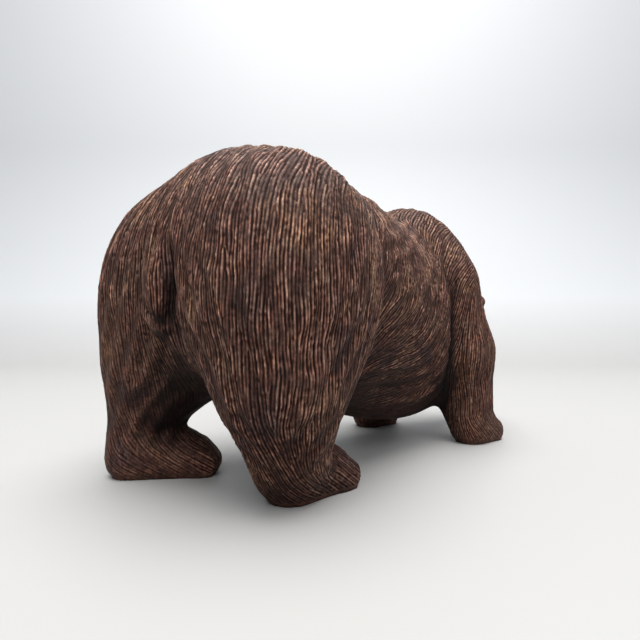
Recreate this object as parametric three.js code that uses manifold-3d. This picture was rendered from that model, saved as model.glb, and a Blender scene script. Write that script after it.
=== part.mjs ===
// A carved wooden bear walking on all fours, cut from one block of dark hardwood.
// Millimetres. +X points the way the bear walks, +Y to its left, +Z up. The soles lie on z = 0.
// The form is a field of blended masses, like clay. It is meshed, combed with locks of fur, thinned and then
// trimmed flat under the paws.

import * as THREE from "three";
import Module from "manifold-3d";

// Driving dimensions of the whole figure
const RUMP_TOP = 107;
const HUMP_TOP = 104;
const BACK_TOP = 98;
const BELLY_CLEARANCE = 11;
const STRIDE = 6; // how far the left haunch trails the right one
const FOOT_BELOW_GROUND = 2; // stock left under each paw until the soles are trimmed flat

// Locks of fur
const LOCK_PITCH = 6.5;
const LOCK_DEPTH = 0.45;
const LOCK_PASSES = 320;
const LOCK_EVENING = 16; // passes between one evening out of the wave's strength and the next
const CREASE_REACH = 12; // a crease only touches the surface this near to its path

// Mesh
const CELL = 1.3;
const BLOCK = 4; // cells on the side of a block that is skipped when the surface is far from it
const TRIANGLES = 9400;

const WOOD = { color: 0x4a3128, roughness: 0.55, metalness: 0 };

const { cos, sin, sqrt, hypot, abs, min, max, PI } = Math;
const rad = THREE.MathUtils.degToRad;
const smoothstep = THREE.MathUtils.smoothstep;

// Masses: each has a signed distance at a point and a width over which it blends into what is already there

const masses = [];
const cuts = [];

// An ellipsoid, turned by yaw about Z and then pitched about its own left axis.
function ball({ at, radii, yaw = 0, pitch = 0, blend = 8 }, list = masses) {
  const turn = new THREE.Matrix4()
    .makeRotationZ(rad(yaw))
    .multiply(new THREE.Matrix4().makeRotationY(rad(pitch)));
  const e = turn.elements;
  const [cx, cy, cz] = at;
  const [a, b, c] = radii;
  const distance = (x, y, z) => {
    const px = x - cx;
    const py = y - cy;
    const pz = z - cz;
    const u = (px * e[0] + py * e[1] + pz * e[2]) / a;
    const v = (px * e[4] + py * e[5] + pz * e[6]) / b;
    const w = (px * e[8] + py * e[9] + pz * e[10]) / c;
    const outward = hypot(u, v, w);
    const slope = hypot(u / a, v / b, w / c);
    return slope < 1e-9 ? -min(a, b, c) : (outward * (outward - 1)) / slope;
  };
  list.push({ distance, blend, centre: at, reach: max(a, b, c) });
}

// A round cone between two points, with a radius at each end.
function limb({ from, to, r0, r1, blend = 6 }, list = masses) {
  const [ax, ay, az] = from;
  const [bx, by, bz] = to.map((value, i) => value - from[i]);
  const length2 = bx * bx + by * by + bz * bz;
  const taper = r0 - r1;
  const side2 = length2 - taper * taper;
  const distance = (x, y, z) => {
    const px = x - ax;
    const py = y - ay;
    const pz = z - az;
    const along = px * bx + py * by + pz * bz;
    const beyond = along - length2;
    const across2 = hypot(px * length2 - bx * along, py * length2 - by * along, pz * length2 - bz * along) ** 2;
    const start2 = along * along * length2;
    const end2 = beyond * beyond * length2;
    const tip = Math.sign(taper) * taper * taper * across2;
    if (Math.sign(beyond) * side2 * end2 > tip) return sqrt(across2 + end2) / length2 - r1;
    if (Math.sign(along) * side2 * start2 < tip) return sqrt(across2 + start2) / length2 - r0;
    return (sqrt((across2 * side2) / length2) + along * taper) / length2 - r0;
  };
  const centre = from.map((value, i) => (value + to[i]) / 2);
  list.push({ distance, blend, centre, reach: sqrt(length2) / 2 + max(r0, r1) });
}

// A chain of limbs through joints, each a point and the radius there.
function chain(joints, blend, list) {
  for (let i = 1; i < joints.length; i++) {
    const [from, r0] = joints[i - 1];
    const [to, r1] = joints[i];
    limb({ from, to, r0, r1, blend }, list);
  }
}

function smoothUnion(a, b, width) {
  const overlap = max(width - abs(a - b), 0) / width;
  return min(a, b) - (overlap * overlap * width) / 4;
}

function smoothCut(a, b, width) {
  return -smoothUnion(-a, b, width);
}

function field(x, y, z) {
  let d = 1e3;
  for (const m of masses) {
    const away = hypot(x - m.centre[0], y - m.centre[1], z - m.centre[2]) - m.reach;
    if (away < d + m.blend) d = smoothUnion(d, m.distance(x, y, z), m.blend);
  }
  for (const c of cuts) {
    const away = hypot(x - c.centre[0], y - c.centre[1], z - c.centre[2]) - c.reach;
    if (away < c.blend - d) d = smoothCut(d, c.distance(x, y, z), c.blend);
  }
  return d;
}

function outwardNormal(x, y, z) {
  const h = 0.2;
  return new THREE.Vector3(
    field(x + h, y, z) - field(x - h, y, z),
    field(x, y + h, z) - field(x, y - h, z),
    field(x, y, z + h) - field(x, y, z - h),
  ).normalize();
}

// Trunk: rump, loin, barrel, belly, chest, shoulder hump and neck

ball({ at: [-44.5, 2, 67], radii: [34.5, 42, RUMP_TOP - 67], blend: 10 });
ball({ at: [-17, 0, 62], radii: [31, 32, 40.5], blend: 16 });
ball({ at: [6, 0, 58], radii: [44, 32, BACK_TOP - 58], blend: 14 });
ball({ at: [27, 0, 42], radii: [38, 26, 42 - BELLY_CLEARANCE], blend: 10 });
ball({ at: [43, 0, 57], radii: [28, 28, 42], blend: 14 });
ball({ at: [48, 0, 79], radii: [22, 18, HUMP_TOP - 79], blend: 14 });
limb({ from: [54, 0, 70], to: [80, 0, 52], r0: 25, r1: 18, blend: 12 });

// Paw: a sole from heel to ball and a row of toes

function paw({ heel, yaw, length, width }) {
  const ahead = [cos(rad(yaw)), sin(rad(yaw))];
  const across = [-ahead[1], ahead[0]];
  const spot = (forward, left, up) => [
    heel[0] + ahead[0] * forward + across[0] * left,
    heel[1] + ahead[1] * forward + across[1] * left,
    up - FOOT_BELOW_GROUND,
  ];
  limb({ from: spot(8, 0, 8), to: spot(length - 10, 0, 7), r0: 8.5, r1: width / 2, blend: 7 });
  const toes = 5;
  const pitch = width / toes;
  for (let i = 0; i < toes; i++) {
    const left = (i - (toes - 1) / 2) * pitch;
    const back = abs(left) * 0.25;
    ball({ at: spot(length - 4 - back, left, 6), radii: [5.5, pitch * 0.62, 5.5], yaw, blend: 1.5 });
  }
}

// Hind legs: haunch, shank and paw

function hindLeg({ side, haunch, radii, knee, hock, girth, heel, yaw, length }) {
  const to = ([x, y, z]) => [x, side * y, z];
  ball({ at: to(haunch), radii, blend: 14 });
  chain([[to(knee), girth[0]], [to(hock), girth[1]]], 8);
  paw({ heel: to(heel), yaw, length, width: 18 });
}

hindLeg({
  side: -1,
  haunch: [-53.5, 24.5, 57],
  radii: [25.5, 20.5, 38],
  knee: [-56.5, 25, 33],
  hock: [-52, 23, 15],
  girth: [16.5, 12],
  heel: [-57, 21, 0],
  yaw: 0,
  length: 32,
});
hindLeg({
  side: 1,
  haunch: [-53.5 - STRIDE, 28.5, 55],
  radii: [22, 20, 37],
  knee: [-63, 31.5, 36],
  hock: [-66, 35.5, 17],
  girth: [14.5, 10],
  heel: [-75.5, 40, 0],
  yaw: -36,
  length: 37,
});

// Forelegs: shoulder, forearm and paw

function foreLeg({ side, outward, yaw }) {
  const to = (x, y, z) => [x, side * (y + outward), z];
  chain([[to(47, 17, 68), 16], [to(53, 22.5, 40), 14], [to(56, 24.5, 18), 11.5]], 6);
  paw({ heel: to(47.5, 27, 0), yaw, length: 25.5, width: 18 });
}

foreLeg({ side: -1, outward: 0, yaw: 0 });
foreLeg({ side: 1, outward: 1, yaw: 4 });

// Head, in its own frame: forward along the muzzle, left, up

const SKULL = [84.5, 0, 49];
const HEAD_DROP = 18;
const headTurn = new THREE.Matrix4().makeRotationY(rad(HEAD_DROP));

function onHead(forward, left, up) {
  const p = new THREE.Vector3(forward, left, up).applyMatrix4(headTurn);
  return [SKULL[0] + p.x, SKULL[1] + p.y, SKULL[2] + p.z];
}

function headBall(place, radii, blend, list) {
  ball({ at: onHead(...place), radii, pitch: HEAD_DROP, blend }, list);
}

headBall([0, 0, 0], [19, 18, 16.5], 8);
headBall([9, 0, 7], [11, 11.5, 6.5], 5);
limb({ from: onHead(10, 0, -3), to: onHead(25, 0, -4), r0: 12, r1: 9, blend: 5 });
limb({ from: onHead(8, 0, -9), to: onHead(25, 0, -10.5), r0: 9, r1: 6.2, blend: 3 });
headBall([32.2, 0, -1], [3.2, 5.6, 3.8], 2);
for (const side of [-1, 1]) {
  headBall([1, side * 12, -5], [12, 8, 10], 6);
  headBall([-6, side * 15.5, 11.5], [4, 6.6, 7], 2.5);
  headBall([-2.6, side * 15.9, 12.3], [2.6, 4, 4.4], 1.5, cuts);
  headBall([16, side * 9, 4.6], [2.8, 2.8, 2.6], 2, cuts);
  headBall([15, side * 8.6, 4.4], [2.5, 2.5, 2.3], 0.8);
}

// Tail: a short flap between the haunches

ball({ at: [-76.5, 2.5, 60], radii: [4.5, 6.5, 12.5], pitch: 4, blend: 3 });

// Creases pressed into the surface along paths: beside the tail, round the mouth, before each haunch,
// behind each foreleg and under each flank

const creases = [];

function crease(path, width, depth) {
  creases.push({ path: path.map((at) => new THREE.Vector3(...at)), width, depth });
}

crease([[-81, 9.5, 74], [-80, 8.5, 58], [-78, -2, 46.5], [-80, -5, 57], [-80, -5.5, 74]], 1.9, 2.4);
crease([[-80, -5.6, 74], [-80, -5.2, 63], [-79, -4, 52], [-77, -2, 40]], 1.8, 4.4);
const mouth = [[12, 12, -7], [22, 9.5, -9], [29, 6, -9.5]];
const lips = [...mouth, [32, 0, -9.5], ...mouth.map(([x, y, z]) => [x, -y, z]).reverse()];
crease(lips.map((at) => onHead(...at)), 1.4, 1.2);
for (const side of [-1, 1]) {
  const sided = (path) => path.map(([x, y, z]) => [x, side * y, z]);
  crease(sided([[-22, 34, 88], [-22, 36, 58], [-27, 33, 38], [-35, 26, 18]]), 5, 2.4);
  crease(sided([[35, 30, 88], [36, 31, 56], [38, 28, 36], [42, 22, 14]]), 4, 3.4);
  crease(sided([[-32, 24, 26], [0, 26, 24], [38, 24, 27]]), 6, 1.8);
}

// Meshing: one vertex in every grid cell that the surface crosses, joined by quads

function surfaceNet(box, cell) {
  const size = box.getSize(new THREE.Vector3());
  const n = [size.x, size.y, size.z].map((length) => BLOCK * Math.ceil(length / cell / BLOCK) + 1);
  const at = (i, j, k) => (k * n[1] + j) * n[0] + i;
  const values = new Float32Array(n[0] * n[1] * n[2]);
  const grid = (i, j, k) => field(box.min.x + i * cell, box.min.y + j * cell, box.min.z + k * cell);
  const each = (from, count, step, visit) => {
    for (let k = from[2]; k < from[2] + count[2]; k += step)
      for (let j = from[1]; j < from[1] + count[1]; j += step)
        for (let i = from[0]; i < from[0] + count[0]; i += step) visit(i, j, k);
  };
  const farOff = 1.6 * BLOCK * cell;
  each([0, 0, 0], n, BLOCK, (i, j, k) => {
    const middle = grid(i + BLOCK / 2, j + BLOCK / 2, k + BLOCK / 2);
    const count = [i, j, k].map((start, axis) => min(BLOCK, n[axis] - start));
    const value = abs(middle) > farOff ? () => middle : grid;
    each([i, j, k], count, 1, (a, b, c) => {
      values[at(a, b, c)] = value(a, b, c);
    });
  });

  const corner = (c) => [c & 1, (c >> 1) & 1, (c >> 2) & 1];
  const edges = [];
  for (let a = 0; a < 8; a++)
    for (const bit of [1, 2, 4])
      if (!(a & bit)) edges.push([a, a | bit]);

  const cellVertex = new Map();
  const points = [];
  each([0, 0, 0], n.map((count) => count - 1), 1, (i, j, k) => {
    const v = [];
    for (let c = 0; c < 8; c++) {
      const [di, dj, dk] = corner(c);
      v.push(values[at(i + di, j + dj, k + dk)]);
    }
    const sum = [0, 0, 0];
    let crossings = 0;
    for (const [a, b] of edges) {
      if (v[a] < 0 === v[b] < 0) continue;
      const t = v[a] / (v[a] - v[b]);
      const from = corner(a);
      const to = corner(b);
      for (let axis = 0; axis < 3; axis++) sum[axis] += from[axis] + t * (to[axis] - from[axis]);
      crossings++;
    }
    if (!crossings) return;
    cellVertex.set(at(i, j, k), points.length);
    const inCell = new THREE.Vector3(...sum).divideScalar(crossings);
    points.push(new THREE.Vector3(i, j, k).add(inCell).multiplyScalar(cell).add(box.min));
  });

  const faces = [];
  const step = [1, n[0], n[0] * n[1]];
  each([1, 1, 1], n.map((count) => count - 2), 1, (i, j, k) => {
    const here = at(i, j, k);
    for (let axis = 0; axis < 3; axis++) {
      const inside = values[here] < 0;
      if (inside === values[here + step[axis]] < 0) continue;
      const su = step[(axis + 1) % 3];
      const sv = step[(axis + 2) % 3];
      const quad = [here - su - sv, here - sv, here, here - su].map((c) => cellVertex.get(c));
      if (!inside) quad.reverse();
      faces.push(quad);
    }
  });
  return { points, faces };
}

function neighbours({ points, faces }) {
  const near = points.map(() => new Set());
  for (const face of faces)
    face.forEach((corner, c) => {
      const next = face[(c + 1) % face.length];
      near[corner].add(next);
      near[next].add(corner);
    });
  return near.map((set) => [...set]);
}

// Splits every quad along the diagonal that bends the surface less
function splitQuads({ points, faces }) {
  const bend = ([a, b, c, d]) => {
    const first = new THREE.Triangle(points[a], points[b], points[c]).getNormal(new THREE.Vector3());
    const second = new THREE.Triangle(points[a], points[c], points[d]).getNormal(new THREE.Vector3());
    return 1 - first.dot(second);
  };
  const triangles = [];
  for (const [a, b, c, d] of faces) {
    const straight = bend([a, b, c, d]) < bend([b, c, d, a]);
    if (straight) triangles.push([a, b, c], [a, c, d]);
    else triangles.push([b, c, d], [b, d, a]);
  }
  return { points, faces: triangles };
}

function outwardFrom(start, near) {
  const order = [start];
  const queued = new Set(order);
  for (let k = 0; k < order.length; k++)
    for (const j of near[order[k]]) {
      if (queued.has(j)) continue;
      queued.add(j);
      order.push(j);
    }
  return order;
}

// The way the fur lies: down the haunches and legs, back and down along the trunk, and back from the nose
function furFlow({ x, y, z }) {
  const side = smoothstep(y, -12, 12) * 2 - 1;
  const flow = new THREE.Vector3(-0.45, 0.35 * side, -1);
  const low = 1 - smoothstep(z, 26, 52);
  const flank = smoothstep(x, -24, -10) * (1 - smoothstep(x, 18, 36));
  flow.lerp(new THREE.Vector3(-1, 0.1 * side, -0.45 - 0.5 * smoothstep(x, -10, 30) + 0.5 * low), flank);
  const front = smoothstep(x, 30, 46);
  flow.lerp(new THREE.Vector3(-0.4 * smoothstep(z, 50, 80), 0.3 * side * smoothstep(z, 50, 80), -1), front);
  const head = smoothstep(x, 66, 82) * smoothstep(z, 12, 24);
  const nose = new THREE.Vector3(...onHead(34, 0, 0));
  flow.lerp(new THREE.Vector3(x, y, z).sub(nose).normalize(), head);
  return flow;
}

const segment = new THREE.Line3();
const foot = new THREE.Vector3();

// How far a crease draws in a point, by the distance along the surface. It fades to both ends of its path.
function drawnIn(p, normal, { path, width, depth }) {
  let deepest = 0;
  for (let k = 1; k < path.length; k++) {
    segment.set(path[k - 1], path[k]);
    const t = segment.closestPointToPointParameter(p, true);
    segment.at(t, foot).sub(p);
    if (foot.length() > CREASE_REACH) continue;
    const away2 = foot.lengthSq() - foot.dot(normal) ** 2;
    const fade = sin((PI * (k - 1 + t)) / (path.length - 1));
    deepest = max(deepest, depth * fade * Math.exp(-away2 / width ** 2));
  }
  return deepest;
}

function pressCreases({ points }, normals) {
  points.forEach((p, i) => {
    let depth = 0;
    for (const c of creases) depth = max(depth, drawnIn(p, normals[i], c));
    p.addScaledVector(normals[i], -depth);
  });
}

// Combs the surface: a wave whose crests follow the flow, evened out over neighbouring vertices
function combLocks(net, normals) {
  const { points } = net;
  const near = neighbours(net);
  const across = points.map((p, i) => {
    const along = furFlow(p).projectOnPlane(normals[i]).normalize();
    return along.cross(normals[i]).multiplyScalar((2 * PI) / LOCK_PITCH);
  });
  const step = new THREE.Vector3();
  const links = near.map((list, i) =>
    list.map((j) => {
      step.subVectors(points[i], points[j]);
      const turn = 0.5 * (across[i].dot(step) + across[j].dot(step));
      return { j, c: cos(turn), s: sin(turn) };
    }),
  );
  const order = outwardFrom(0, near);
  const c = new Float64Array(points.length);
  const s = new Float64Array(points.length);
  c[0] = 1;
  for (let pass = 0; pass < LOCK_PASSES; pass++) {
    for (const i of order) {
      let real = 0;
      let imaginary = 0;
      for (const link of links[i]) {
        real += link.c * c[link.j] - link.s * s[link.j];
        imaginary += link.s * c[link.j] + link.c * s[link.j];
      }
      if (!real && !imaginary) continue;
      const size = pass % LOCK_EVENING ? links[i].length : hypot(real, imaginary);
      c[i] = real / size;
      s[i] = imaginary / size;
    }
    order.reverse();
  }
  const nose = new THREE.Vector3(...onHead(30, 0, 0));
  points.forEach((p, i) => {
    const clearOfSoles = smoothstep(p.z, 8, 16);
    const clearOfFace = smoothstep(p.distanceTo(nose), 16, 34);
    const underside = 1 - 0.6 * smoothstep(-normals[i].z, 0.3, 0.9);
    const height = LOCK_DEPTH * clearOfSoles * clearOfFace * underside;
    p.addScaledVector(normals[i], (height * c[i]) / hypot(c[i], s[i]));
  });
}

// Thinning: collapses the edge that moves the surface least until the wanted number of triangles is left

function thin({ points, faces }, wanted) {
  const quadrics = points.map(() => new Float64Array(10));
  const touching = points.map(() => new Set());
  const alive = new Uint8Array(faces.length).fill(1);
  const stamp = new Uint32Array(points.length);
  const u = new THREE.Vector3();
  const v = new THREE.Vector3();
  const faceNormal = (a, b, c) => u.subVectors(b, a).cross(v.subVectors(c, a));

  faces.forEach((face, f) => {
    const [a, b, c] = face.map((i) => points[i]);
    const normal = faceNormal(a, b, c).clone();
    const area = normal.length();
    if (area > 0) normal.divideScalar(area);
    const plane = [normal.x, normal.y, normal.z, -normal.dot(a)];
    for (const i of face) {
      touching[i].add(f);
      let slot = 0;
      for (let r = 0; r < 4; r++)
        for (let s = r; s < 4; s++) quadrics[i][slot++] += area * plane[r] * plane[s];
    }
  });

  const error = (q, { x, y, z }) =>
    q[0] * x * x + 2 * q[1] * x * y + 2 * q[2] * x * z + 2 * q[3] * x + q[4] * y * y + 2 * q[5] * y * z +
    2 * q[6] * y + q[7] * z * z + 2 * q[8] * z + q[9];

  const heap = [];
  const swap = (i, j) => {
    [heap[i], heap[j]] = [heap[j], heap[i]];
  };
  const push = (item) => {
    let i = heap.push(item) - 1;
    while (i > 0 && heap[(i - 1) >> 1].cost > heap[i].cost) {
      swap(i, (i - 1) >> 1);
      i = (i - 1) >> 1;
    }
  };
  const pop = () => {
    const top = heap[0];
    const last = heap.pop();
    if (!heap.length) return top;
    heap[0] = last;
    let i = 0;
    for (;;) {
      let least = i;
      for (const child of [2 * i + 1, 2 * i + 2])
        if (child < heap.length && heap[child].cost < heap[least].cost) least = child;
      if (least === i) return top;
      swap(i, least);
      i = least;
    }
  };

  const consider = (a, b) => {
    const q = quadrics[a].map((value, slot) => value + quadrics[b][slot]);
    const middle = points[a].clone().lerp(points[b], 0.5);
    const best = new THREE.Matrix3().set(q[0], q[1], q[2], q[1], q[4], q[5], q[2], q[5], q[7]);
    const choices = [middle, points[a], points[b]];
    const scale = q[0] + q[4] + q[7];
    if (abs(best.determinant()) > 1e-4 * scale ** 3) {
      const optimum = new THREE.Vector3(-q[3], -q[6], -q[8]).applyMatrix3(best.invert());
      if (optimum.distanceTo(middle) < points[a].distanceTo(points[b])) choices.unshift(optimum);
    }
    let place = choices[0];
    for (const choice of choices) if (error(q, choice) < error(q, place)) place = choice;
    const cost = error(q, place) + 1e-6 * points[a].distanceToSquared(points[b]);
    push({ cost, a, b, place: place.clone(), seen: stamp[a] + stamp[b] });
  };
  const ring = (i) => {
    const found = new Set();
    for (const f of touching[i])
      for (const j of faces[f])
        if (j !== i) found.add(j);
    return found;
  };
  // A collapse is refused when it would pinch the surface or turn a triangle over or into a sliver.
  const allowed = (a, b, place) => {
    const ringB = ring(b);
    let shared = 0;
    for (const j of ring(a)) if (ringB.has(j)) shared++;
    if (shared !== 2) return false;
    for (const end of [a, b])
      for (const f of touching[end]) {
        if (faces[f].includes(a) && faces[f].includes(b)) continue;
        const before = faceNormal(...faces[f].map((i) => points[i])).clone();
        const corners = faces[f].map((i) => (i === end ? place : points[i]));
        const after = faceNormal(...corners);
        const longest = max(...corners.map((p, c) => p.distanceToSquared(corners[(c + 1) % 3])));
        if (after.length() < 0.06 * longest) return false;
        if (after.dot(before) < 0.3 * after.length() * before.length()) return false;
      }
    return true;
  };

  neighboursOnce(points, faces).forEach(([a, b]) => consider(a, b));
  let left = faces.length;
  while (left > wanted && heap.length) {
    const { a, b, place, seen } = pop();
    if (!touching[a].size || !touching[b].size || seen !== stamp[a] + stamp[b]) continue;
    if (!allowed(a, b, place)) continue;
    for (const f of [...touching[b]]) {
      if (faces[f].includes(a)) {
        for (const i of faces[f]) touching[i].delete(f);
        alive[f] = 0;
        left--;
        continue;
      }
      faces[f] = faces[f].map((i) => (i === b ? a : i));
      touching[a].add(f);
    }
    touching[b].clear();
    points[a].copy(place);
    quadrics[a].forEach((value, slot) => {
      quadrics[a][slot] = value + quadrics[b][slot];
    });
    stamp[a] += 1 + stamp[b];
    for (const j of ring(a)) consider(a, j);
  }
  return { points, faces: faces.filter((_, f) => alive[f]) };
}

function neighboursOnce(points, faces) {
  const pairs = [];
  neighbours({ points, faces }).forEach((near, a) => {
    for (const b of near) if (a < b) pairs.push([a, b]);
  });
  return pairs;
}

function toGeometry({ points, faces }) {
  const used = new Map();
  const position = [];
  const index = faces.flat().map((i) => {
    if (!used.has(i)) {
      used.set(i, used.size);
      position.push(...points[i].toArray());
    }
    return used.get(i);
  });
  const geometry = new THREE.BufferGeometry();
  geometry.setAttribute("position", new THREE.Float32BufferAttribute(position, 3));
  geometry.setIndex(index);
  return geometry;
}

// Trimming: the ground is cut away so that all four soles are flat

const wasm = await Module();
wasm.setup();

function toManifold(geometry) {
  const mesh = new wasm.Mesh({
    numProp: 3,
    vertProperties: Float32Array.from(geometry.attributes.position.array),
    triVerts: Uint32Array.from(geometry.index.array),
  });
  mesh.merge();
  return new wasm.Manifold(mesh);
}

function fromManifold(solid) {
  const mesh = solid.getMesh();
  const geometry = new THREE.BufferGeometry();
  geometry.setAttribute("position", new THREE.Float32BufferAttribute(mesh.vertProperties, 3));
  geometry.setIndex([...mesh.triVerts]);
  return geometry;
}

function ground() {
  const depth = 20;
  const slab = new THREE.BoxGeometry(400, 300, depth).translate(0, 0, -depth / 2);
  slab.deleteAttribute("normal");
  slab.deleteAttribute("uv");
  return toManifold(slab);
}

// The finished solid, moved so that the origin lies under the middle of its box

const ROOM = new THREE.Box3(new THREE.Vector3(-92, -58, -8), new THREE.Vector3(128, 62, 116));

function carvedBear() {
  const net = surfaceNet(ROOM, CELL);
  const normals = net.points.map((p) => outwardNormal(p.x, p.y, p.z));
  pressCreases(net, normals);
  combLocks(net, normals);
  const rough = toManifold(toGeometry(thin(splitQuads(net), TRIANGLES)));
  const geometry = fromManifold(rough.subtract(ground()));
  geometry.computeBoundingBox();
  const middle = geometry.boundingBox.getCenter(new THREE.Vector3());
  geometry.translate(-middle.x, -middle.y, -geometry.boundingBox.min.z);
  return geometry;
}

const bear = new THREE.Group();
const mesh = new THREE.Mesh(carvedBear(), new THREE.MeshStandardMaterial(WOOD));
mesh.name = "bear";
bear.add(mesh);

export default bear;
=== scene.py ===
import itertools
import math
from typing import NamedTuple

import bpy
import numpy as np
from mathutils import Matrix, Vector
from mathutils.bvhtree import BVHTree
from mathutils.kdtree import KDTree


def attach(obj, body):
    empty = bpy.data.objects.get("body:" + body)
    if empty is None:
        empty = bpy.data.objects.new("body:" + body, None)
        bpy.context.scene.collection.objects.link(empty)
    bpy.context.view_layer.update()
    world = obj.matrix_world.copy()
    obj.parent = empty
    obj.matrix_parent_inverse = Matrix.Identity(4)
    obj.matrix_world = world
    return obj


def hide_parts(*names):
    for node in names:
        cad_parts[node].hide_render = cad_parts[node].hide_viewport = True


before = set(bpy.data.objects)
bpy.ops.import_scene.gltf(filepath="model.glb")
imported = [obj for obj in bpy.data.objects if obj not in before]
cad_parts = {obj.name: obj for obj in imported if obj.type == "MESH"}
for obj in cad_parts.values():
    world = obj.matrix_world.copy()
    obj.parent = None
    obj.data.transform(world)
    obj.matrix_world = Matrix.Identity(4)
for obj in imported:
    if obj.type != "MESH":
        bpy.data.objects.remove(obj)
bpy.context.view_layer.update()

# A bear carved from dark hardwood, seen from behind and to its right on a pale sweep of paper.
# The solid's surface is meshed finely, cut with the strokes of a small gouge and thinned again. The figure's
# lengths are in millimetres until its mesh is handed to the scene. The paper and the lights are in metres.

MM = 0.001
TINY = 1e-9  # keeps a division clear of zero

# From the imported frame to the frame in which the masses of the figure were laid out
LAYOUT_SHIFT = np.array([17.9, 1.48, 0.0])

# Mesh
VOXEL = 0.5
SMOOTHING_PASSES = 10
SMOOTHING_SHARE = 0.5
SOLE_HEIGHT = 0.5
TRIANGLES = 194000

# Gouge strokes: a fine wave of grooves, some of them deepened by a broader one
STROKE_PITCH = 0.9
BACK_PITCH = 1.3
STROKE_DEPTH = 0.46
STROKE_PROUD = 0.14
STROKE_SHARPNESS = 1.6
STROKE_SEED = 7
STROKE_PASSES = 200
STROKE_EVENING = 12  # passes between one evening out of the wave's strength and the next
SIDEWAYS_PULL = 0.5
LENGTHWISE_PULL = 2.0
BROAD_RATIO = 1.75
BROAD_SHARE = 0.35
BROAD_SEED = 16
AGREEMENT = (0.4, 0.95)  # below this the strokes of neighbouring vertices cross, and the groove is lost
LOST_GROOVE = 0.45

# Where the strokes are shallower, by what share, and the back, where they are deeper
MUZZLE_PLAIN = 0.7
UNDERSIDE = (0.3, 0.9)
UNDERSIDE_PLAIN = 0.6
TRAILING_SIDE = (6, 20)
TRAILING_TOP = (46, 70)
TRAILING_PLAIN = 0.55
FRONT_PLAIN = 0.4
SOLE_EDGE = (0.4, 2.5)
BACK_DEEPER = 1.2

# Unevenness as by hand, in layers of noise: the size of its features, how much it adds, its seed
TURN_NOISE = ((8, 0.16, 13), (3.5, 0.096, 14))
PITCH_NOISE = ((9, 0.22, 7), (3.5, 0.14, 15))
WANDER_NOISE = ((2.6, 0.5, 9), (1.2, 0.35, 10))
NICK_NOISE = ((0.9, 0.26, 11),)
HASH_AXES = np.array([73856093, 19349663, 83492791])
HASH_SEED = 668265263
HASH_FACTOR = 1274126177
HASH_RANGE = 0xFFFF

# Streaks along the fur, which vary the depth of the strokes and the tone of the wood
STREAK_SEED = 8
STREAK_PASSES = 24
STREAK_NARROWNESS = 4
STREAK_FLOOR = 1e-6
STREAK_DRIFT = 0.6
STREAK_CONTRAST = 1.7
STREAK_DEPTH = (0.4, 1.25)

# Spans of the layout frame over which the fur changes its lie
BACK = (68, 100)
LOIN = (-52, -26)
FLANK_START = (-26, -12)
FLANK_END = (18, 36)
FLANK_HEIGHT = (38, 76)
FLANK_TURN = (0, 34)
SHOULDER = (30, 46)
WITHERS = (52, 84)
NECK = (66, 82)
CHIN = (12, 24)
HIND_LEG = (-30, -14)
LEFT_LEG = (-6, 6)
FORELEG = (26, 40)
SHIN = (8, 32)
PAW = (5, 16)
MIDDLE = (-12, 12)

# The lie of the fur in each region: how far it runs back, out to the side and down
HAUNCH_LIE = (0.0, 0.0, 1.0)
LOIN_LIE = (0.8, 0.0, 1.0)
BACK_LIE = (0.95, 0.35, 1.0)
HIGH_FLANK_LIE = (0.2, 0.4, 1.0)
LOW_FLANK_LIE = (1.0, 0.0, 0.3)
FORELEG_LIE = (0.4, 0.0, 0.8)
SHOULDER_LIE = (0.0, 0.0, 1.0)
WITHERS_LIE = (1.0, 0.3, 0.3)

# On the legs the fur turns to the toes. Those of the trailing left leg point inwards.
TOES = (1.0, 0.0, 0.0)
LEFT_TOES = (0.8, -0.6, 0.0)
HIND_SHIN_TURN = 0.45
FORE_SHIN_TURN = 0.35
PAW_FALL = np.array([0.0, 0.0, -0.7])

# Head, in its own frame: forward along the muzzle, left, up
SKULL = np.array([84.5, 0.0, 49.0])
HEAD_DROP = math.radians(18)
MUZZLE_TIP = np.array([31.5, 0.0, -1.3])
MUZZLE_REACH = (5, 26)
NOSE_PAD = np.array([33.0, 0.0, -0.8])
NOSE_SIZE = np.array([4.6, 6.2, 4.6])
NOSE_EDGE = (0.86, 1.0)
NOSE_RIM = 0.09
RIM_START = (24, 28)
RIM_DEPTH = 0.4
NOSTRIL = np.array([34.6, 2.7, -1.7])
NOSTRIL_EDGE = (0.45, 1.5)
NOSTRIL_DEPTH = 1.1
LIP_LINE = 0.5
LIP_START = (27, 30)
LIP_TOP = (4.5, 5.5)
LIP_END = (9, 10.5)
LIP_DEPTH = 0.5
EYE_BALL = np.array([15.4, 8.9, 4.6])
EYE_EDGE = (2.16, 2.7)

# Relief: how far a place stands out from the rounded form around it
RELIEF_PASSES = 60
RELIEF_RANGE = 2.0

# Painted shade: the wood is darkened where the figure closes in around the surface, on undersides and in the
# crease behind each foreleg, where shade falls
RECESS_RAYS = 40
RECESS_REACH = 45.0
RECESS_PASSES = 40
RECESS_SEED = 12
RAY_START = 0.4
RAY_LIFT = 1.02  # over 1, so that every ray leaves the surface
BELOW_PAINTED_SHADE = 0.7
BELOW_SLOPE = (0.0, 0.7)
# Painted shade in the crease behind each foreleg
ELBOW_PAINTED_SHADE = 0.7
ELBOW_WIDTH = 4.2
ELBOW_HEIGHT = (14, 36, 56, 88)
ELBOW_AHEAD = (40, 36, 34, 33)
ELBOW_SIDE = (12, 20)
ELBOW_TOP = (62, 88)

# Fields on the vertices, from which the wood takes its colour
FIELDS = ("crest", "streak", "relief", "painted_shade", "lying", "spot")
PLAIN_CREST = 0.69
PLAIN_CUT = (0, 0.95)
LEAST_CUT = 0.3
LYING = (0.3, 0.7)
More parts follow.
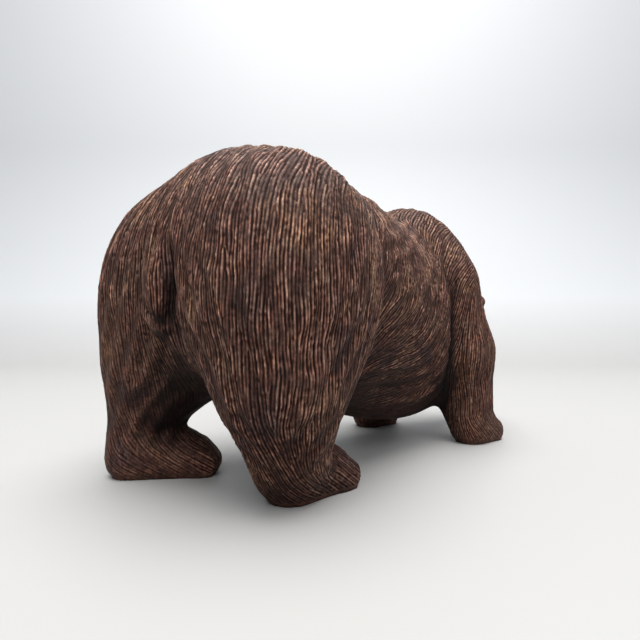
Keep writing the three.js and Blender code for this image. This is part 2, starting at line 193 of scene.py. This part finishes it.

# Wood: the colour from the bottom of a groove to its crest, and tints that multiply it. The near-black groove
# bottoms are partly the stain the cuts hold and partly painted shade, and the greyer crests are partly
# painted sheen.
CUT_COLOURS = (
    (0.0, (0.0032, 0.0008, 0.0004)),
    (0.47, (0.0225, 0.0085, 0.0057)),
    (0.8, (0.108, 0.0685, 0.0563)),
    (1.0, (0.205, 0.150, 0.131)),
)
STREAK_TINTS = (
    (0.1, (0.60, 0.56, 0.57)),
    (0.5, (0.95, 0.93, 0.92)),
    (0.9, (1.30, 1.27, 1.22)),
)
STRAND = {"size": 1.1, "stretch": 9, "detail": 2}
STRAND_TINTS = (
    (0.32, (0.60, 0.61, 0.69)),
    (0.44, (1.04, 0.87, 0.81)),
    (0.53, (1.0, 1.0, 0.99)),
    (0.63, (1.22, 1.13, 0.97)),
    (0.74, (1.24, 1.22, 1.22)),
)
HAIR = {"size": 0.4, "stretch": 7, "detail": 2}
HAIR_TINTS = (
    (0.32, (0.64, 0.61, 0.61)),
    (0.50, (1, 1, 1)),
    (0.68, (1.42, 1.40, 1.37)),
)
PATCH = {"size": 16, "detail": 4}
PATCH_TINTS = (
    (0.34, (0.66, 0.65, 0.73)),
    (0.45, (1.08, 0.92, 0.87)),
    (0.54, (1.04, 1.01, 0.98)),
    (0.65, (1.32, 1.21, 1.03)),
)
FLECK = {"size": 0.9, "detail": 3}
FLECK_TINTS = (
    (0.35, (0.70, 0.68, 0.67)),
    (0.52, (1, 1, 1)),
    (0.68, (1.38, 1.35, 1.31)),
)
# Painted shade darkens the hollows of the form, and what stands out is lighter
RELIEF_TINTS = (
    (0.12, (0.10, 0.09, 0.09)),
    (0.44, (0.92, 0.92, 0.92)),
    (0.75, (1.15, 1.12, 1.1)),
)
# Painted shade: tints for the field of recesses, undersides and the crease behind each foreleg
PAINTED_SHADE_TINTS = (
    (0.20, (1, 1, 1)),
    (0.42, (0.96, 0.92, 0.91)),
    (0.60, (0.64, 0.595, 0.585)),
    (0.85, (0.15, 0.13, 0.13)),
)
SPOT_COLOUR = (0.012, 0.008, 0.007, 1)
SPOT_ROUGHNESS = 0.34
GROOVE_ROUGHNESS = 0.85
CREST_ROUGHNESS = 0.5
POLISH_FROM = 0.4
WOOD_SPECULAR = 0.14
HAIR_BUMP = 0.6
HAIR_HEIGHT = 0.2

# Paper: its colour on the floor and from this height in metres up the wall. It is lighter up the wall than on
# the floor: painted light.
PAPER_SHADES = (
    (0.0, (0.355, 0.355, 0.35)),
    (0.12, (0.47, 0.485, 0.50)),
)
PAPER_ROUGHNESS = 0.6
SWEEP_STEPS = 24

# Camera, level and turned by the yaw from the way the bear walks, and light
VIEW_YAW = math.radians(42.4)
EYE = Vector((-163.9, -122.5, 48.0)) * MM
LENS = 27
SENSOR = 36
IMAGE_SIZE = 640
FRAME_RISE = 13  # pixels
NEAREST = 0.01
AHEAD = Vector((math.cos(VIEW_YAW), math.sin(VIEW_YAW), 0))
ASIDE = Vector((math.sin(VIEW_YAW), -math.cos(VIEW_YAW), 0))
LIGHT_AIM = Vector((0, 0, 0.05))
SKY_COLOUR = (0.93, 0.96, 1.0, 1)
SKY_STRENGTH = 0.5


# Small tools


def smoothstep(value, low, high):
    t = np.clip((value - low) / (high - low), 0, 1)
    return t * t * (3 - 2 * t)


def mix(a, b, share):
    return a + (b - a) * share


def mix_ways(a, b, share):
    """Directions mixed point by point."""
    return mix(np.array(a), np.array(b), share[:, None])


def unit(vectors):
    length = np.linalg.norm(vectors, axis=-1, keepdims=True)
    return vectors / np.maximum(length, TINY)


def dot(a, b):
    return np.einsum("nd,nd->n", a, b)


def value_noise(points, size, seed):
    """Smooth noise from -1 to 1 with features about size across."""
    place = points / size
    cell = np.floor(place).astype(np.int64)
    part = place - cell
    part = part * part * (3 - 2 * part)
    total = np.zeros(len(points))
    for corner in itertools.product((0, 1), repeat=3):
        code = np.bitwise_xor.reduce((cell + corner) * HASH_AXES, axis=1) ^ seed * HASH_SEED
        code = (code ^ (code >> 13)) * HASH_FACTOR
        value = ((code >> 9) & HASH_RANGE) / (HASH_RANGE / 2) - 1
        weight = np.prod(np.where(corner, part, 1 - part), axis=1)
        total += weight * value
    return total


def unevenness(points, layers):
    return sum(share * value_noise(points, size, seed) for size, share, seed in layers)


def add_object(name, data):
    made = bpy.data.objects.new(name, data)
    bpy.context.scene.collection.objects.link(made)
    return made


# Mesh arrays


class Surface(NamedTuple):
    """A mesh of quads, with the normal of each vertex and the table of its neighbours."""

    points: np.ndarray
    faces: np.ndarray
    normals: np.ndarray
    table: np.ndarray
    used: np.ndarray


def arrays_of(mesh):
    points = np.empty(len(mesh.vertices) * 3, np.float32)
    mesh.vertices.foreach_get("co", points)
    corners = np.empty(len(mesh.loops), np.int32)
    mesh.loops.foreach_get("vertex_index", corners)
    sides = len(corners) // len(mesh.polygons)
    return points.reshape(-1, 3).astype(float), corners.reshape(-1, sides)


def mesh_of(name, points, faces):
    mesh = bpy.data.meshes.new(name)
    count, sides = faces.shape
    mesh.vertices.add(len(points))
    mesh.vertices.foreach_set("co", points.astype(np.float32).ravel())
    mesh.loops.add(count * sides)
    mesh.loops.foreach_set("vertex_index", faces.astype(np.int32).ravel())
    mesh.polygons.add(count)
    mesh.polygons.foreach_set("loop_start", np.arange(count, dtype=np.int32) * sides)
    mesh.update(calc_edges=True)
    return mesh


def modified(mesh, kind, **settings):
    """The mesh after one modifier."""
    holder = add_object("holder", mesh)
    modifier = holder.modifiers.new("step", kind)
    for key, value in settings.items():
        setattr(modifier, key, value)
    depsgraph = bpy.context.evaluated_depsgraph_get()
    result = bpy.data.meshes.new_from_object(holder.evaluated_get(depsgraph))
    bpy.data.objects.remove(holder)
    return result


def shade_smooth(mesh):
    mesh.polygons.foreach_set("use_smooth", np.ones(len(mesh.polygons), bool))


def vertex_normals(points, faces):
    diagonal = points[faces[:, 2]] - points[faces[:, 0]]
    other = points[faces[:, 3]] - points[faces[:, 1]]
    face_normals = np.cross(diagonal, other)
    total = np.zeros_like(points)
    for corner in range(4):
        for axis in range(3):
            total[:, axis] += np.bincount(faces[:, corner], face_normals[:, axis], len(points))
    return unit(total)


def neighbour_table(faces, count):
    """For every vertex the vertices of the quads around it, padded with itself, and which aren't padding."""
    pairs = [faces[:, [a, b]] for a, b in itertools.permutations(range(4), 2)]
    pairs = np.unique(np.concatenate(pairs).astype(np.int64) @ [count, 1])
    start, end = pairs // count, pairs % count
    degree = np.bincount(start, minlength=count)
    first = np.concatenate([[0], np.cumsum(degree)[:-1]])
    slot = np.arange(len(start)) - first[start]
    table = np.repeat(np.arange(count)[:, None], degree.max(), axis=1)
    table[start, slot] = end
    used = np.arange(degree.max()) < degree[:, None]
    return table, used


def smoothed(points, table, used, passes):
    share = used / used.sum(1, keepdims=True)
    for _ in range(passes):
        mean = np.einsum("nk,nkd->nd", share, points[table])
        points = mix(points, mean, SMOOTHING_SHARE)
    return points


def even_surface(solid):
    """The solid's surface in small quads of one size, smoothed, with its soles kept flat."""
    remeshed = modified(solid, "REMESH", mode="VOXEL", voxel_size=VOXEL)
    points, faces = arrays_of(remeshed)
    bpy.data.meshes.remove(remeshed)
    table, used = neighbour_table(faces, len(points))
    on_sole = points[:, 2] < SOLE_HEIGHT
    points = smoothed(points, table, used, SMOOTHING_PASSES)
    points[on_sole, 2] = 0
    return Surface(points, faces, vertex_normals(points, faces), table, used)


def refine(faces, count):
    """Splits every quad in four. Gives the four old vertices that each new vertex is the mean of, one of them
    repeated where it has fewer, and the new quads."""
    sides = np.sort(np.stack([faces, np.roll(faces, -1, axis=1)], 2).reshape(-1, 2), axis=1)
    codes, which = np.unique(sides.astype(np.int64) @ [count, 1], return_inverse=True)
    ends = np.stack([codes // count, codes % count], 1)
    which = which.reshape(-1, 4) + count
    centre = np.arange(len(faces)) + count + len(ends)
    own = np.arange(count)
    parents = np.concatenate([np.stack([own] * 4, 1), np.concatenate([ends, ends], 1), faces])
    parts = []
    for corner in range(4):
        parts.append(np.stack([faces[:, corner], which[:, corner], centre, which[:, corner - 1]], 1))
    return parents, np.concatenate(parts)


# Head


def head_axes():
    """The head's forward, left and up directions in the layout frame, as rows."""
    ahead, drop = math.cos(HEAD_DROP), math.sin(HEAD_DROP)
    return np.array([[ahead, 0, -drop], [0, 1, 0], [drop, 0, ahead]])


def on_head(points):
    """Points of the layout frame in the head's own frame."""
    return (points - SKULL) @ head_axes().T


def from_nose(head):
    """From 0 in the middle of the nose pad to 1 at its rim."""
    return np.linalg.norm((head - NOSE_PAD) / NOSE_SIZE, axis=1)


def from_pair(head, place):
    """The distance from a place on the left of the head or from its mirror image, whichever is nearer."""
    left_half = np.where([False, True, False], np.abs(head), head)
    return np.linalg.norm(left_half - place, axis=1)


def smooth_spots(head):
    """1 on the nose pad and the eyes, 0 elsewhere."""
    nose = 1 - smoothstep(from_nose(head), *NOSE_EDGE)
    eye = 1 - smoothstep(from_pair(head, EYE_BALL), *EYE_EDGE)
    return np.maximum(nose, eye)


def face_cuts(head):
    """How deep the rim of the nose, the nostrils and the line down to the mouth are cut."""
    forward, left, up = head.T
    rim = np.exp(-(((from_nose(head) - 1) / NOSE_RIM) ** 2)) * smoothstep(forward, *RIM_START)
    nostril = 1 - smoothstep(from_pair(head, NOSTRIL), *NOSTRIL_EDGE)
    below_nose = smoothstep(-up, *LIP_TOP) * (1 - smoothstep(-up, *LIP_END)) * smoothstep(forward, *LIP_START)
    lip = np.exp(-((left / LIP_LINE) ** 2)) * below_nose
    return RIM_DEPTH * rim + NOSTRIL_DEPTH * nostril + LIP_DEPTH * lip


# The way the fur lies: down the haunches and legs, back and down along the trunk, and back from the nose


def trunk_flow(points):
    x, y, z = points.T
    lie = mix_ways(HAUNCH_LIE, LOIN_LIE, smoothstep(x, *LOIN))
    lie = mix_ways(lie, BACK_LIE, smoothstep(z, *BACK))
    low_flank = mix_ways(LOW_FLANK_LIE, FORELEG_LIE, smoothstep(x, *FLANK_TURN))
    flank = mix_ways(low_flank, HIGH_FLANK_LIE, smoothstep(z, *FLANK_HEIGHT))
    lie = mix_ways(lie, flank, smoothstep(x, *FLANK_START) * (1 - smoothstep(x, *FLANK_END)))
    front = mix_ways(SHOULDER_LIE, WITHERS_LIE, smoothstep(z, *WITHERS))
    lie = mix_ways(lie, front, smoothstep(x, *SHOULDER))
    back, out, down = lie.T
    side = smoothstep(y, *MIDDLE) * 2 - 1
    return np.stack([-back, out * side, -down], 1)


def fur_flow(points):
    x, y, z = points.T
    head = smoothstep(x, *NECK) * smoothstep(z, *CHIN)
    from_muzzle = unit(on_head(points) - MUZZLE_TIP) @ head_axes()
    flow = mix_ways(trunk_flow(points), from_muzzle, head)
    hind = 1 - smoothstep(x, *HIND_LEG)
    fore = smoothstep(x, *FORELEG) * (1 - head)
    toes = mix_ways(TOES, LEFT_TOES, smoothstep(y, *LEFT_LEG) * hind)
    shin = (1 - smoothstep(z, *SHIN)) * (HIND_SHIN_TURN * hind + FORE_SHIN_TURN * fore)
    paw = (1 - smoothstep(z, *PAW)) * (hind + fore)
    return mix_ways(flow + toes * shin[:, None], toes + PAW_FALL, paw)


def combing(surface):
    """The fur's direction along the surface, a little uneven as by hand."""
    place = surface.points + LAYOUT_SHIFT
    flow = fur_flow(place)
    straight = unit(flow - surface.normals * dot(flow, surface.normals)[:, None])
    turn = unevenness(place, TURN_NOISE)[:, None]
    return straight * np.cos(turn) + np.cross(surface.normals, straight) * np.sin(turn)


# Gouge strokes


def stroke_strength(points, normals):
    """How strongly the strokes are cut at points of the layout frame."""
    x, y, z = points.T
    head = on_head(points)
    muzzle = 1 - smoothstep(np.linalg.norm(head - MUZZLE_TIP, axis=1), *MUZZLE_REACH)
    underside = smoothstep(-normals[:, 2], *UNDERSIDE)
    hind = 1 - smoothstep(x, *HIND_LEG)
    trailing = hind * smoothstep(y, *TRAILING_SIDE) * (1 - smoothstep(z, *TRAILING_TOP))
    strength = smoothstep(z, *SOLE_EDGE) * mix(1, BACK_DEEPER, smoothstep(z, *BACK))
    strength *= (1 - MUZZLE_PLAIN * muzzle) * (1 - UNDERSIDE_PLAIN * underside)
    strength *= (1 - TRAILING_PLAIN * trailing) * (1 - FRONT_PLAIN * smoothstep(x, *SHOULDER))
    return strength * (1 - smooth_spots(head))


def steps_around(surface, along):
    """The step to each vertex from each of its neighbours, and from 0 to 1 how far it runs along the fur."""
    step = surface.points[:, None] - surface.points[surface.table]
    lengthwise = np.einsum("nd,nkd->nk", along, step) ** 2 / np.maximum((step**2).sum(2), TINY)
    return step, lengthwise


def evened(wave):
    """The wave with the same strength everywhere."""
    return wave / (np.abs(wave) + TINY)


def comb(surface, along, pitch, seed):
    """A wave on the vertices, as complex numbers, whose crests run along the fur at the given pitch, and the
    direction across the fur in which it turns."""
    across = np.cross(along, surface.normals) * (2 * math.pi / pitch)[:, None]
    step, lengthwise = steps_around(surface, along)
    turn = np.einsum("nd,nkd->nk", across, step) + np.einsum("nkd,nkd->nk", across[surface.table], step)
    pull = surface.used * mix(SIDEWAYS_PULL, LENGTHWISE_PULL, lengthwise)
    link = (pull * np.exp(0.5j * turn)).astype(np.complex64)
    total = np.abs(link).sum(1)
    chance = np.random.default_rng(seed)
    wave = np.exp(2j * math.pi * chance.random(len(surface.points))).astype(np.complex64)
    for k in range(STROKE_PASSES):
        wave = np.einsum("nk,nk->n", link, wave[surface.table])
        if k % STROKE_EVENING == 0:
            wave = evened(wave)
        else:
            wave /= total
    return evened(wave), across


def carried(wave, across, parents, step):
    """The wave a step away from its parent vertices. Its angle is its turn there, and its size, from 0 to 1,
    says how well the parents agree."""
    turn = np.einsum("nkd,nkd->nk", across[parents], step)
    return (wave[parents] * np.exp(1j * turn)).mean(1)


def fall_of(wave):
    """From 0 on the crests of the wave to 1 in its valleys."""
    return np.abs(np.angle(wave)) / math.pi


def streaks(surface, along):
    """Noise drawn out along the fur, from 0 to 1."""
    share = surface.used * steps_around(surface, along)[1] ** STREAK_NARROWNESS + STREAK_FLOOR
    share /= share.sum(1, keepdims=True)
    value = np.random.default_rng(STREAK_SEED).standard_normal(len(surface.points))
    for _ in range(STREAK_PASSES):
        value = mix(value, np.einsum("nk,nk->n", share, value[surface.table]), STREAK_DRIFT)
    return 1 / (1 + np.exp(-STREAK_CONTRAST * value / value.std()))


def cut_strokes(surface, along, streak):
    """A denser mesh of the surface, with the gouge's strokes and the cuts of the face."""
    place = surface.points + LAYOUT_SHIFT
    pitch = mix(STROKE_PITCH, BACK_PITCH, smoothstep(place[:, 2], *BACK))
    pitch *= 1 + unevenness(place, PITCH_NOISE)
    parents, faces = refine(surface.faces, len(surface.points))
    points = surface.points[parents].mean(1)
    normals = unit(surface.normals[parents].mean(1))
    step = points[:, None] - surface.points[parents]
    fine = carried(*comb(surface, along, pitch, STROKE_SEED), parents, step)
    broad = fall_of(carried(*comb(surface, along, pitch * BROAD_RATIO, BROAD_SEED), parents, step))

    wander = unevenness(points, WANDER_NOISE)
    groove = fall_of(fine * np.exp(1j * wander)) ** STROKE_SHARPNESS
    groove = mix(LOST_GROOVE, groove, smoothstep(np.abs(fine), *AGREEMENT))
    fall = groove * mix(1 - BROAD_SHARE, 1, broad) + BROAD_SHARE * broad**2 + unevenness(points, NICK_NOISE)
    layout = points + LAYOUT_SHIFT
    strength = stroke_strength(layout, normals) * mix(*STREAK_DEPTH, streak[parents].mean(1))
    depth = strength * (STROKE_DEPTH * fall - STROKE_PROUD) + face_cuts(on_head(layout))
    return mesh_of("dense", points - normals * depth[:, None], faces)


# Fields from which the wood takes its colour


def relief_of(surface):
    """From 0 in hollows to 1 where the form stands out."""
    rounded = smoothed(surface.points, surface.table, surface.used, RELIEF_PASSES)
    proud = dot(surface.points - rounded, surface.normals)
    return np.clip(0.5 + proud / RELIEF_RANGE, 0, 1)


def openness(mesh):
    """For each vertex, the share of ways out from the surface that don't meet the figure again."""
    tree = BVHTree.FromPolygons([v.co for v in mesh.vertices], [f.vertices for f in mesh.polygons])
    ways = unit(np.random.default_rng(RECESS_SEED).standard_normal((RECESS_RAYS, 3)))
    shares = []
    for vertex in mesh.vertices:
        start = vertex.co + vertex.normal * RAY_START
        clear = 0
        for way in unit(ways + np.array(vertex.normal) * RAY_LIFT):
            if tree.ray_cast(start, way, RECESS_REACH)[0] is None:
                clear += 1
        shares.append(clear / RECESS_RAYS)
    return shares


def spread(mesh, values, surface):
    """Values at the mesh's vertices, carried to a surface of the same form and evened out."""
    tree = KDTree(len(mesh.vertices))
    for i, vertex in enumerate(mesh.vertices):
        tree.insert(vertex.co, i)
    tree.balance()
    found = np.array([values[tree.find(p)[1]] for p in surface.points.tolist()])
    share = surface.used / surface.used.sum(1, keepdims=True)
    for _ in range(RECESS_PASSES):
        found = np.einsum("nk,nk->n", share, found[surface.table])
    return found


def elbow_shade(points):
    """Where shade is painted in the crease behind each foreleg: 1 in the crease, which runs down and forward,
    fading to 0 beside it.
    """
    x, y, z = points.T
    middle = np.interp(z, ELBOW_HEIGHT, ELBOW_AHEAD)
    beside = np.exp(-(((x - middle) / ELBOW_WIDTH) ** 2))
    return beside * smoothstep(np.abs(y), *ELBOW_SIDE) * (1 - smoothstep(z, *ELBOW_TOP))


# Painted shade: darker where the ways out from the surface meet the figure, on undersides and in the crease
# behind each foreleg
def painted_shade_of(surface, solid):
    painted_shade = 1 - spread(solid, openness(solid), surface)
    # Painted shade on undersides, darker the more a place faces down
    painted_shade += BELOW_PAINTED_SHADE * smoothstep(-surface.normals[:, 2], *BELOW_SLOPE)
    return painted_shade + ELBOW_PAINTED_SHADE * elbow_shade(surface.points + LAYOUT_SHIFT)


def lying_of(along):
    """From 0 where the fur hangs to 1 where it lies lengthwise."""
    lengthwise, _, upright = (along**2).T
    return smoothstep(lengthwise / (lengthwise + upright + TINY), *LYING)


def crest_of(height, cut):
    """From 0 at the bottom of a stroke to 1 on its crest, for heights above the uncut surface. Where the
    strokes are hardly cut it is the same all over."""
    crest = 1 + (height - STROKE_PROUD * cut) / (STROKE_DEPTH * np.maximum(cut, LEAST_CUT))
    return mix(PLAIN_CREST, np.clip(crest, 0, 1), smoothstep(cut, *PLAIN_CUT))


def fields_on(mesh, surface, solid, along, streak):
    """The value of each field at the vertices of a mesh that was carved from the surface."""
    points = arrays_of(mesh)[0]
    tree = BVHTree.FromPolygons(surface.points.tolist(), surface.faces.tolist())
    height = np.empty(len(points))
    nearest = np.empty(len(points), np.int64)
    for i, point in enumerate(points.tolist()):
        spot, normal, nearest[i], _ = tree.find_nearest(point)
        height[i] = (Vector(point) - spot).dot(normal)
    corners = surface.faces[nearest]
    strength = stroke_strength(surface.points + LAYOUT_SHIFT, surface.normals)
    return {
        "crest": crest_of(height, strength[corners].mean(1)),
        "streak": streak[corners].mean(1),
        "relief": relief_of(surface)[corners].mean(1),
        "painted_shade": painted_shade_of(surface, solid)[corners].mean(1),
        "lying": lying_of(along)[corners].mean(1),
        "spot": smooth_spots(on_head(points + LAYOUT_SHIFT)),
    }


def carved_mesh(node):
    """The node's form with its gouge strokes, and the fields for its colour on the vertices."""
    solid = node.data.copy()
    solid.transform(Matrix.Scale(1 / MM, 4))
    surface = even_surface(solid)
    along = combing(surface)
    streak = streaks(surface, along)
    dense = cut_strokes(surface, along, streak)
    share = TRIANGLES / (2 * len(dense.polygons))
    thin = modified(dense, "DECIMATE", ratio=share, use_collapse_triangulate=True)
    fields = fields_on(thin, surface, solid, along, streak)
    for name in FIELDS:
        attribute = thin.attributes.new(name, "FLOAT", "POINT")
        attribute.data.foreach_set("value", fields[name].astype(np.float32))
    thin.transform(Matrix.Scale(MM, 4))
    for spare in (solid, dense):
        bpy.data.meshes.remove(spare)
    return thin


# Materials

COLOUR_A, COLOUR_B, COLOUR_OUT = 6, 7, 2  # a mix node's colour sockets, whose names other sockets share


def new_material(name):
    material = bpy.data.materials.new(name)
    material.use_nodes = True
    tree = material.node_tree
    return material, tree, tree.nodes["Principled BSDF"]


def add(tree, kind, values=(), **settings):
    made = tree.nodes.new(kind)
    for key, value in settings.items():
        setattr(made, key, value)
    for key, value in dict(values).items():
        made.inputs[key].default_value = value
    return made


def ramp(tree, source, stops):
    made = tree.nodes.new("ShaderNodeValToRGB")
    tree.links.new(source, made.inputs[0])
    elements = made.color_ramp.elements
    while len(elements) < len(stops):
        elements.new(0.5)
    for element, (position, colour) in zip(elements, stops):
        element.position = position
        element.color = (*colour, 1)
    return made.outputs[0]


def product(tree, first, *others):
    """Colours multiplied together."""
    for other in others:
        made = add(tree, "ShaderNodeMix", {"Factor": 1}, data_type="RGBA", blend_type="MULTIPLY")
        tree.links.new(first, made.inputs[COLOUR_A])
        tree.links.new(other, made.inputs[COLOUR_B])
        first = made.outputs[COLOUR_OUT]
    return first


def noise(tree, where, size, detail):
    made = add(tree, "ShaderNodeTexNoise", {"Scale": 1 / (size * MM), "Detail": detail})
    tree.links.new(where, made.inputs["Vector"])
    return made.outputs["Fac"]


def combed_noise(tree, where, lying, size, stretch, detail):
    """Noise drawn out along the fur: upright where the fur hangs, lengthwise where it lies."""
    blend = add(tree, "ShaderNodeMix", data_type="FLOAT")
    tree.links.new(lying, blend.inputs["Factor"])
    for socket, scale in (("A", (1, 1, 1 / stretch)), ("B", (1 / stretch, 1, 1))):
        drawn = add(tree, "ShaderNodeMapping", {"Scale": scale})
        tree.links.new(where, drawn.inputs["Vector"])
        tree.links.new(noise(tree, drawn.outputs["Vector"], size, detail), blend.inputs[socket])
    return blend.outputs["Result"]


def wood_material():
    material, tree, shader = new_material("carved_wood")
    link = tree.links.new
    values = [add(tree, "ShaderNodeAttribute", attribute_name=name).outputs["Fac"] for name in FIELDS]
    crest, streak, relief, painted_shade, lying, spot = values
    where = add(tree, "ShaderNodeTexCoord").outputs["Object"]
    hairs = combed_noise(tree, where, lying, **HAIR)

    layers = (
        (crest, CUT_COLOURS),
        (streak, STREAK_TINTS),
        (combed_noise(tree, where, lying, **STRAND), STRAND_TINTS),
        (hairs, HAIR_TINTS),
        (noise(tree, where, **PATCH), PATCH_TINTS),
        (noise(tree, where, **FLECK), FLECK_TINTS),
        # Relief: painted shade in hollows, lighter where the form stands out
        (relief, RELIEF_TINTS),
        # Painted shade in recesses, on undersides and behind the forelegs
        (painted_shade, PAINTED_SHADE_TINTS),
    )
    colour = product(tree, *(ramp(tree, source, stops) for source, stops in layers))
    spotted = add(tree, "ShaderNodeMix", {COLOUR_B: SPOT_COLOUR}, data_type="RGBA")
    link(spot, spotted.inputs["Factor"])
    link(colour, spotted.inputs[COLOUR_A])
    link(spotted.outputs[COLOUR_OUT], shader.inputs["Base Color"])

    shader.inputs["Specular IOR Level"].default_value = WOOD_SPECULAR
    range_values = {"From Min": POLISH_FROM, "To Min": GROOVE_ROUGHNESS, "To Max": CREST_ROUGHNESS}
    polish = add(tree, "ShaderNodeMapRange", range_values)
    link(crest, polish.inputs["Value"])
    shine = add(tree, "ShaderNodeMix", {"B": SPOT_ROUGHNESS}, data_type="FLOAT")
    link(spot, shine.inputs["Factor"])
    link(polish.outputs["Result"], shine.inputs["A"])
    link(shine.outputs["Result"], shader.inputs["Roughness"])
    bump = add(tree, "ShaderNodeBump", {"Strength": HAIR_BUMP, "Distance": HAIR_HEIGHT * MM})
    link(hairs, bump.inputs["Height"])
    link(bump.outputs["Normal"], shader.inputs["Normal"])
    return material


def paper_material():
    material, tree, shader = new_material("pale_paper")
    where = add(tree, "ShaderNodeTexCoord").outputs["Object"]
    height = add(tree, "ShaderNodeSeparateXYZ")
    tree.links.new(where, height.inputs[0])
    # Painted light: the paper is lighter up the wall than on the floor
    tree.links.new(ramp(tree, height.outputs["Z"], PAPER_SHADES), shader.inputs["Base Color"])
    shader.inputs["Roughness"].default_value = PAPER_ROUGHNESS
    return material


# The bear

bear_mesh = carved_mesh(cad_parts["bear"])
bear_mesh.materials.append(wood_material())
shade_smooth(bear_mesh)
bear = add_object("carved_bear", bear_mesh)
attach(bear, "root")
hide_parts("bear")


# Floor, lights and camera


def sweep(near, flat, radius, height, width):
    """A floor that curves up into a wall behind the figure."""
    profile = [(-near, 0.0), (0.0, 0.0), (flat, 0.0)]
    for k in range(1, SWEEP_STEPS + 1):
        a = math.radians(90) * k / SWEEP_STEPS
        profile.append((flat + radius * math.sin(a), radius * (1 - math.cos(a))))
    profile.append((flat + radius, height))
    points = []
    for ahead, up in profile:
        for aside in (-width / 2, width / 2):
            p = AHEAD * ahead + ASIDE * aside
            points.append((p.x, p.y, up))
    faces = [(2 * i, 2 * i + 1, 2 * i + 3, 2 * i + 2) for i in range(len(profile) - 1)]
    mesh = bpy.data.meshes.new("paper_sweep")
    mesh.from_pydata(points, [], faces)
    mesh.materials.append(paper_material())
    shade_smooth(mesh)
    return add_object("paper_sweep", mesh)


sweep(near=3.0, flat=0.45, radius=0.5, height=2.4, width=10.0)


def area_light(name, ahead, aside, up, size, power, colour):
    data = bpy.data.lights.new(name, "AREA")
    data.shape = "DISK"
    data.size = size
    data.energy = power
    data.color = colour
    made = add_object(name, data)
    made.location = AHEAD * ahead + ASIDE * aside + Vector((0, 0, up))
    made.rotation_euler = (LIGHT_AIM - made.location).to_track_quat("-Z", "Y").to_euler()


area_light("top_light", ahead=-0.1, aside=0.05, up=1.6, size=1.5, power=46.0, colour=(1, 0.98, 0.96))
area_light("fill_light", ahead=-0.8, aside=0.05, up=1.1, size=1.1, power=12.5, colour=(1, 0.99, 0.98))

world = bpy.data.worlds.new("studio")
world.use_nodes = True
sky = world.node_tree.nodes["Background"]
sky.inputs["Color"].default_value = SKY_COLOUR
sky.inputs["Strength"].default_value = SKY_STRENGTH
bpy.context.scene.world = world
bpy.context.scene.view_settings.view_transform = "Standard"

camera_data = bpy.data.cameras.new("camera")
camera_data.lens = LENS
camera_data.sensor_width = SENSOR
camera_data.shift_y = FRAME_RISE / IMAGE_SIZE
camera_data.clip_start = NEAREST
camera = add_object("camera", camera_data)
camera.location = EYE
camera.rotation_euler = AHEAD.to_track_quat("-Z", "Y").to_euler()
bpy.context.scene.camera = camera
